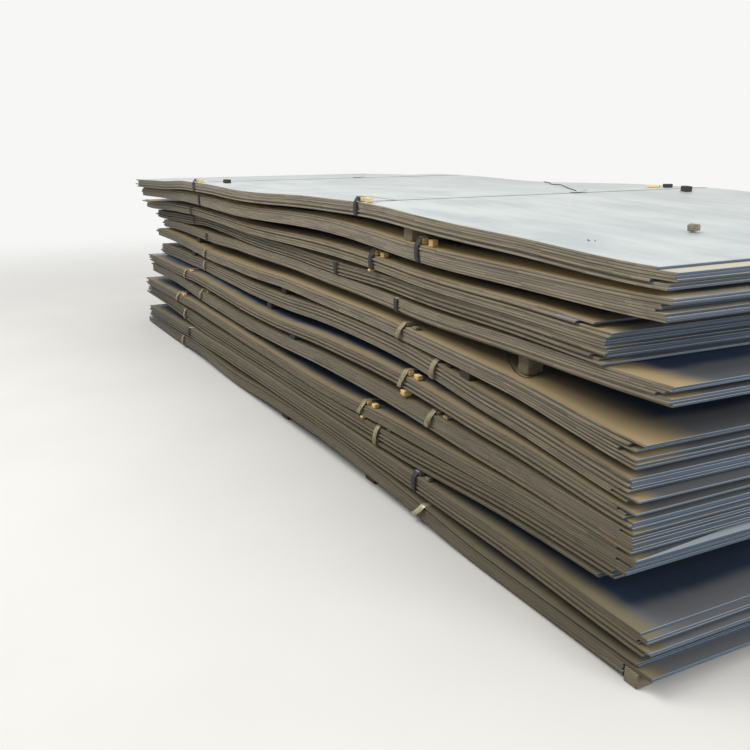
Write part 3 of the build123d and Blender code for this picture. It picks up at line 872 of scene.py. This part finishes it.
def strap_finishes():
    """The strap finishes, made once: two by material slot, and the bright one."""
    blued = strap_steel("blued_strap_steel", "strap_blue_shaded", "strap_blue_worn", "strap_pale_reflection", 0.05, 0.6)
    zinc = strap_steel("zinc_coated_strap_steel", "strap_zinc", "strap_zinc_worn", "strap_zinc", 0.25, 0.5)
    bright = strap_steel("bright_zinc_strap_steel", "strap_bright", "strap_bright_worn", "strap_bright",
                         0.35, 0.36)
    return {"strap_steel_blued": blued, "strap_steel_zinc": zinc, "bright": bright}


class PLATESTACK_OT_plates(bpy.types.Operator):
    """Give every bundle of plates its mill scale and its sheared, slightly rounded edges"""

    bl_idname = "plate_stack.finish_plates"
    bl_label = "Finish the plates"

    def execute(self, context):
        for number, node in enumerate(PLATE_NODES):
            finish = hot_rolled_plate(f"hot_rolled_plate_{bundle_of(node)[-2:]}", PlateLook(number, node))
            plates = NODES[node]
            plates.data.materials.clear()
            plates.data.materials.append(finish)
            weld = plates.modifiers.new("weld", "WELD")
            weld.merge_threshold = 0.02 * MM
            rounding = plates.modifiers.new("edge_round", "BEVEL")
            rounding.width = sizes().edge_round
            rounding.segments = 2
            rounding.limit_method = "ANGLE"
            rounding.angle_limit = math.radians(50)
        return {"FINISHED"}


class PLATESTACK_OT_straps(bpy.types.Operator):
    """Draw the steel straps round the bundles, with their free ends"""

    bl_idname = "plate_stack.make_straps"
    bl_label = "Straps"

    def execute(self, context):
        values = sizes()
        finishes = strap_finishes()
        draw = random.Random(11)
        seals = [middle_of(points) for points in solids_of("strap_seals")]
        for node in STRAP_NODES:
            build = bmesh.new()
            label = bundle_of(node)
            blued = label in BLUED_BUNDLES
            for points in solids_of(node):
                path = BandPath(points)
                near_bright = label == BRIGHT_STRAP_BUNDLE and path.x > 0
                lean = values.strap_lean * draw.uniform(0.6, 1.2)
                if near_bright:
                    lean *= BRIGHT_STRAP_LEAN
                bow = values.strap_bow * draw.uniform(0.7, 1.2)
                if blued:
                    lean, bow = -0.25 * lean, 0.5 * bow
                add_band(build, strap_loop(path, lean, bow), path.width, path.slope, True)
                seal = min(seals, key=lambda middle: (middle - Vector((path.x, middle.y, path.high))).length)
                lift = values.tail_lift if label == bundle_of(TOP_NODE) else 0.1 * values.tail_lift
                add_band(build, strap_tail(path, seal, lift), path.width, path.slope, False)
                if near_bright:
                    for face in build.faces:
                        face.material_index = int(face.calc_center_median().x > 0)
            slot_name = "strap_steel_blued" if blued else "strap_steel_zinc"
            materials = (finishes[slot_name], finishes["bright"])
            new_piece(f"{node}_drawn_tight", build, materials, (node,))
        return {"FINISHED"}


def dunnage_kind(points):
    """Which of its two woods a floor block is of: 1 for the weathered block at the near corner, else 0."""
    return int(middle_of(points).x > CORNER_BLOCK_FROM)


def loose_kind(top_sheet, points):
    """Which of its three woods a loose block is of: 0 if it is the crumpled one, 1 if dark, 2 if pale."""
    middle = middle_of(points)
    if middle.x > WEDGED_BLOCK_FROM:
        return 0
    return 1 if middle.z - height_on(top_sheet, middle.x, middle.y) > DARK_BLOCK_RISE else 2


class PLATESTACK_OT_wood(bpy.types.Operator):
    """Split the wood pads, chips and loose blocks, and saw the spacers and the floor dunnage"""

    bl_idname = "plate_stack.make_wood"
    bl_label = "Wood pads, spacers and dunnage"

    def execute(self, context):
        values = sizes()
        pine = split_softwood("fresh_split_pine", "pine", "pine_grain", 0.12)
        woods = {
            "cream": split_softwood("pale_split_pine", "cream_pine", "cream_grain", 0.3),
            "brown": split_softwood("brown_split_pine", "brown_pine", "brown_grain", 0.4),
            "dark": split_softwood("stained_softwood", "dark_wood", "dark_grain", 0.7),
            "grey": split_softwood("weathered_softwood", "grey_wood", "grey_grain", 0.5),
            "tarred": split_softwood("tarred_softwood", "tarred_wood", "tarred_grain", 0.5),
        }
        grey, tarred = woods["grey"], woods["tarred"]
        for number, node in enumerate(PAD_NODES):
            wood = woods.get(PAD_WOODS.get(bundle_of(node)), pine)
            wood_piece(f"{node}_split", node, FINE_FACETS, values.pad_arris, SPLIT_TEAR, (wood,),
                       10 * number)
        for number, node in enumerate(SPACER_NODES):
            wood = grey if node.endswith(bundle_of(TOP_NODE)) else tarred
            wood_piece(f"{node}_sawn", node, COARSE_FACETS, values.spacer_arris, SAWN_TEAR, (wood,),
                       100 + 10 * number)
        wood_piece("floor_dunnage_sawn", "floor_dunnage", COARSE_FACETS, values.spacer_arris, SAWN_TEAR,
                   (tarred, grey), 300, dunnage_kind)
        kind_of = partial(loose_kind, mesh_tree(TOP_NODE))
        arris = LOOSE_ARRIS * values.pad_arris
        wood_piece("loose_packing_wood_split", "loose_packing_wood", FINE_FACETS, arris, SAWN_TEAR,
                   (grey, tarred, pine), 400, kind_of, 0)
        self.foot_chips(pine)
        return {"FINISHED"}

    def foot_chips(self, wood):
        """Chips of split wood caught under the near straps where they turn below their bundles."""
        build = bmesh.new()
        grain = build.verts.layers.float_vector.new("grain_place")
        for number, (label, offset, length, depth, height) in enumerate(FOOT_CHIPS):
            paths = [BandPath(points) for points in solids_of(f"{label}_straps")]
            strap = max(paths, key=lambda path: path.x)
            plates = mesh_tree(f"{label}_plates")
            left, front = strap.x + offset, strap.front - 6 * MM
            right, back = left + length, front + depth
            low, high = [], []
            for x, y in ((left, front), (right, front), (right, back), (left, back)):
                under = height_on(plates, x, max(y, strap.front + 25 * MM), underside=True) - 0.3 * MM
                low.append(Vector((x, y, under - height)))
                high.append(Vector((x, y, under)))
            add_block(build, grain, (low, high), FINE_FACETS, sizes().pad_arris, SAWN_TEAR, 500 + number)
        new_piece("strap_foot_chips", build, (wood,))


class PLATESTACK_OT_seals(bpy.types.Operator):
    """Fold and crimp the seals of the straps"""

    bl_idname = "plate_stack.make_seals"
    bl_label = "Seals"

    def execute(self, context):
        build = bmesh.new()
        for points in solids_of("strap_seals"):
            add_folded_seal(build, points)
        piece = new_piece("strap_seals_crimped", build, (bpy.data.materials["blued_strap_steel"],),
                          ("strap_seals",))
        sheet = piece.modifiers.new("gauge", "SOLIDIFY")
        sheet.thickness = sizes().seal_gauge
        sheet.offset = -1.0
        return {"FINISHED"}


class PLATESTACK_OT_litter(bpy.types.Operator):
    """Lay the tie wire and the flakes of scale that were left on the plates"""

    bl_idname = "plate_stack.lay_litter"
    bl_label = "Loose wire and scale"

    def execute(self, context):
        radius = sizes().wire_radius
        wire = strap_steel("black_annealed_wire", "wire_black", "wire_worn", "wire_black", 0.1, 0.6)
        top_sheet = mesh_tree(TOP_NODE)
        ledge = mesh_tree("bundle_08_plates")
        block = next(points for points in solids_of("loose_packing_wood") if middle_of(points).z < 1.0)
        corner = Vector((min(p.x for p in block), min(p.y for p in block), 0.0))

        build = bmesh.new()
        places = [(corner.x + x, corner.y + y) for x, y in LEDGE_WIRE]
        line = [Vector((x, y, height_on(ledge, x, y) + radius + lift)) for (x, y), lift
                in zip(places, LEDGE_WIRE_LIFT)]
        add_wire(build, smooth_line(line, 8), radius)
        line = [Vector((x, y, height_on(top_sheet, x, y) + radius + lift)) for x, y, lift in TOP_WIRE]
        add_wire(build, smooth_line(line, 10), TOP_WIRE_THICKER * radius)
        new_piece("loose_tie_wire", build, (wire,))

        build = bmesh.new()
        draw = random.Random(5)
        for x, y in SCALE_FLAKES:
            rim = []
            for k in range(FLAKE_CORNERS):
                turn, reach = 2 * math.pi * k / FLAKE_CORNERS, draw.uniform(*FLAKE_REACH)
                px, py = x + reach * math.cos(turn), y + reach * math.sin(turn)
                rim.append(Vector((px, py, height_on(top_sheet, px, py))))
            floor = [build.verts.new(point + Vector((0, 0, 0.1 * MM))) for point in rim]
            roof = [build.verts.new(point + Vector((0, 0, draw.uniform(*FLAKE_HEIGHT)))) for point in rim]
            build.faces.new(roof)
            build.faces.new(floor[::-1])
            for k in range(FLAKE_CORNERS):
                j = (k + 1) % FLAKE_CORNERS
                build.faces.new((floor[k], floor[j], roof[j], roof[k]))
        new_piece("scale_flakes", build, (wire,))
        return {"FINISHED"}


def studio_world():
    """A soft light that comes mostly from above, and a white backdrop behind the stack and in its gloss."""
    world = bpy.data.worlds.new("studio")
    bpy.context.scene.world = world
    world.use_nodes = True
    world.node_tree.nodes.clear()
    add = partial(add_node, world.node_tree)
    upward = add("SeparateXYZ", add("TexCoord").outputs["Generated"]).outputs["Z"]
    strength = add("MapRange", upward, *SKY_HEIGHTS, *SKY_LIGHT)
    light = add("Background", paint("sky"), strength)
    backdrop = add("Background", paint("backdrop"), 1.0)
    add("OutputWorld", add("MixShader", seen_rays(add), light, backdrop))


def softbox(name, place, side, power):
    """A large square lamp at place, aimed at the middle of the stack."""
    lamp = bpy.data.lights.new(name, "AREA")
    lamp.shape = "SQUARE"
    lamp.size = side
    lamp.energy = power
    holder = bpy.data.objects.new(name, lamp)
    holder.location = place
    holder.rotation_euler = (Vector(LAMP_TARGET) - Vector(place)).to_track_quat("-Z", "Y").to_euler()
    bpy.context.scene.collection.objects.link(holder)


class PLATESTACK_OT_stage(bpy.types.Operator):
    """Set up the floor, the soft studio light and the camera"""

    bl_idname = "plate_stack.set_stage"
    bl_label = "Stage"

    def execute(self, context):
        scene = context.scene
        scene.view_settings.view_transform = "Standard"
        build = bmesh.new()
        bmesh.ops.create_grid(build, x_segments=1, y_segments=1, size=FLOOR_SIZE)
        mesh = bpy.data.meshes.new("floor")
        build.to_mesh(mesh)
        build.free()
        floor = bpy.data.objects.new("floor", mesh)
        scene.collection.objects.link(floor)
        mesh.materials.append(painted_floor("painted_floor"))
        studio_world()
        for lamp in LAMPS:
            softbox(*lamp)

        low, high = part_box(CORNER_NODE)
        camera = bpy.data.cameras.new("camera")
        camera.sensor_width = SENSOR
        camera.lens = SENSOR * FOCAL_PIXELS / PICTURE_SIDE
        camera.clip_end = 200.0
        holder = bpy.data.objects.new("camera", camera)
        holder.location = (high.x + CAMERA_PAST_END, low.y - CAMERA_IN_FRONT, CAMERA_HEIGHT)
        ahead = Vector((-math.cos(CAMERA_TURN) * math.cos(CAMERA_PITCH),
                        math.sin(CAMERA_TURN) * math.cos(CAMERA_PITCH), -math.sin(CAMERA_PITCH)))
        holder.rotation_euler = ahead.to_track_quat("-Z", "Y").to_euler()
        scene.collection.objects.link(holder)
        scene.camera = holder
        return {"FINISHED"}


OPERATORS = (PLATESTACK_OT_plates, PLATESTACK_OT_straps, PLATESTACK_OT_wood, PLATESTACK_OT_seals,
             PLATESTACK_OT_litter, PLATESTACK_OT_stage)


class PLATESTACK_PT_panel(bpy.types.Panel):
    """The steps and settings of the plate stack, in the sidebar"""

    bl_idname = "PLATESTACK_PT_panel"
    bl_label = "Steel Plate Stack"
    bl_space_type = "VIEW_3D"
    bl_region_type = "UI"
    bl_category = "Plate Stack"

    def draw(self, context):
        for operator in OPERATORS:
            self.layout.operator(operator.bl_idname)
        for group in (context.scene.plate_stack_sizes, context.scene.plate_stack_colours):
            box = self.layout.box()
            for name in group.bl_rna.properties.keys():
                if name not in ("rna_type", "name"):
                    box.prop(group, name)


CLASSES = (PlateStackSizes, PlateStackColours) + OPERATORS + (PLATESTACK_PT_panel,)


def register():
    """Register the classes and hang the settings on the scene."""
    for cls in CLASSES:
        bpy.utils.register_class(cls)
    bpy.types.Scene.plate_stack_sizes = bpy.props.PointerProperty(type=PlateStackSizes)
    bpy.types.Scene.plate_stack_colours = bpy.props.PointerProperty(type=PlateStackColours)


def unregister():
    """Take the settings and the classes away again."""
    del bpy.types.Scene.plate_stack_colours
    del bpy.types.Scene.plate_stack_sizes
    for cls in reversed(CLASSES):
        bpy.utils.unregister_class(cls)


def main():
    register()
    bpy.ops.plate_stack.finish_plates()
    bpy.ops.plate_stack.make_straps()
    bpy.ops.plate_stack.make_wood()
    bpy.ops.plate_stack.make_seals()
    bpy.ops.plate_stack.lay_litter()
    bpy.ops.plate_stack.set_stage()


if __name__ == "__main__":
    main()
